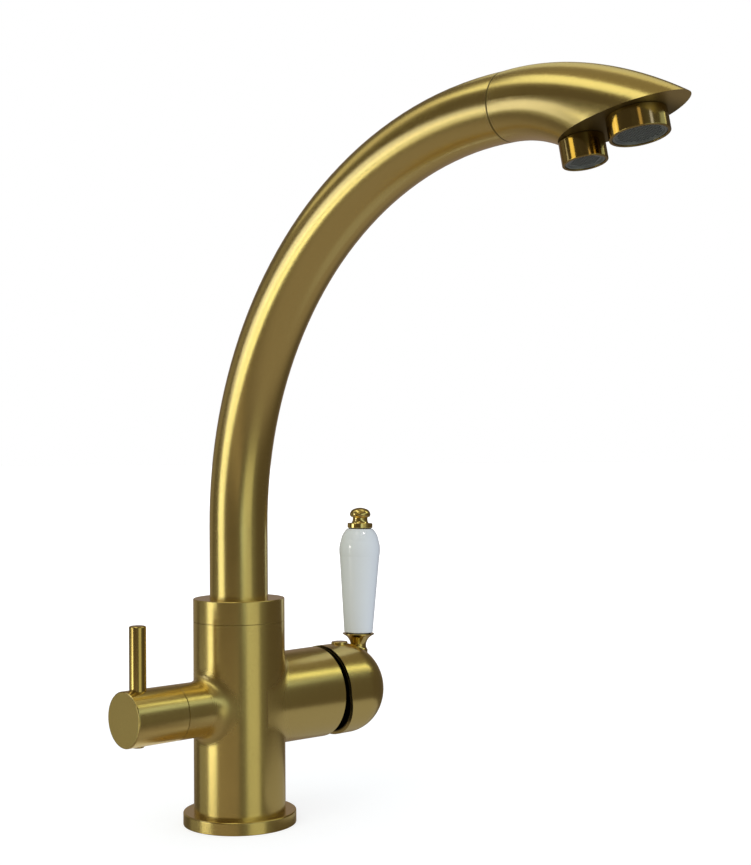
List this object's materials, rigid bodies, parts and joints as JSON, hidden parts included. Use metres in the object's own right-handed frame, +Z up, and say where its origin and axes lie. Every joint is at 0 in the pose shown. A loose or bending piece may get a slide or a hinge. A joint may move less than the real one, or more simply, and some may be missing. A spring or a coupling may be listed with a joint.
{
  "type": "kitchen tap with filtered water outlet",
  "caption": "Deck-mounted brushed brass kitchen tap with swan-neck swivel spout, two outlets for mixed and filtered water, a porcelain mixer lever and a filter water knob.",
  "frame": {"origin": "centre of the base, in the plane of the deck that the base ring stands on, at the mouth of the threaded socket for the fixing shank", "axes": "+Z up along the body and swivel axis; -Y towards the user and along the spout; +X towards the mixer handle, so the filtered water knob is on -X"},
  "size_m": [0.1591, 0.2951, 0.3359],
  "materials": {
    "brushed_brass": "satin, fine brushed grain round and along the turned surfaces",
    "polished_brass": "polished, small turned trims",
    "bare_brass": "machined, unplated inner parts",
    "white_porcelain": "gloss glaze over white porcelain",
    "black_rubber": "matt moulded rubber",
    "moulded_plastic": "matt moulded acetal and liner tube",
    "aerator_mesh": "dark moulded honeycomb",
    "stainless_steel": "machined stainless steel",
    "disc_ceramic": "lapped alumina ceramic"
  },
  "bodies": {
    "tap": {"tap_body": "brushed_brass", "base_ring": "brushed_brass", "base_gasket": "black_rubber", "swivel_bush": "moulded_plastic", "spout_retaining_screw": "stainless_steel", "water_tube_o_ring": "black_rubber", "cartridge_seal": "black_rubber", "cartridge_housing": "moulded_plastic", "fixed_ceramic_disc": "disc_ceramic", "cartridge_nut": "bare_brass", "filter_valve_seal": "black_rubber", "filter_fixed_disc": "disc_ceramic", "filter_valve_housing": "bare_brass", "filter_valve_o_ring": "black_rubber"},
    "spout": {"spout_collar": "brushed_brass", "spout_stub": "bare_brass", "spout_o_rings": "black_rubber", "spout_tube": "brushed_brass", "filter_water_tube": "moulded_plastic", "spout_head": "brushed_brass", "main_outlet_sleeve": "polished_brass", "filter_outlet_sleeve": "polished_brass", "main_aerator": "aerator_mesh", "filter_aerator": "aerator_mesh", "aerator_washers": "black_rubber"},
    "mixer carrier": {"cartridge_carrier": "moulded_plastic", "stem_pin": "stainless_steel"},
    "mixing disc": {"moving_ceramic_disc": "disc_ceramic", "disc_driver": "moulded_plastic"},
    "mixer handle": {"cartridge_stem": "bare_brass", "mixer_handle_dome": "brushed_brass", "handle_index_button": "polished_brass", "handle_grub_screw": "stainless_steel", "lever_cup": "polished_brass", "lever_rod": "stainless_steel", "porcelain_lever": "white_porcelain", "lever_finial": "polished_brass", "lever_washers": "moulded_plastic"},
    "filter handle": {"filter_spindle": "bare_brass", "filter_moving_disc": "disc_ceramic", "spindle_o_ring": "black_rubber", "filter_handle": "brushed_brass", "filter_lever_pin": "polished_brass", "filter_grub_screw": "stainless_steel"}
  },
  "joints": [
    {"name": "spout_swivel", "type": "hinge", "parent": "tap", "child": "spout", "pos_m": [0, 0, 0], "axis": [0, 0, 1], "range_deg": [-180, 180]},
    {"name": "mixer_temperature", "type": "hinge", "parent": "tap", "child": "mixer carrier", "pos_m": [0, 0, 0.0585], "axis": [1, 0, 0], "range_deg": [-50, 50]},
    {"name": "mixer_flow", "type": "hinge", "parent": "mixer carrier", "child": "mixer handle", "pos_m": [0.047, 0, 0.0585], "axis": [0, 1, 0], "range_deg": [0, 20]},
    {"name": "mixing_disc_slide", "type": "slide", "parent": "mixer carrier", "child": "mixing disc", "axis": [0, 0, 1], "range_m": [0, 0.0032]},
    {"name": "filter_open", "type": "hinge", "parent": "tap", "child": "filter handle", "pos_m": [0, 0, 0.0585], "axis": [1, 0, 0], "range_deg": [0, 90]}
  ],
  "couplings": [
    {"joint": "mixing_disc_slide", "follows": "mixer_flow", "m_per_rad": 0.009}
  ]
}
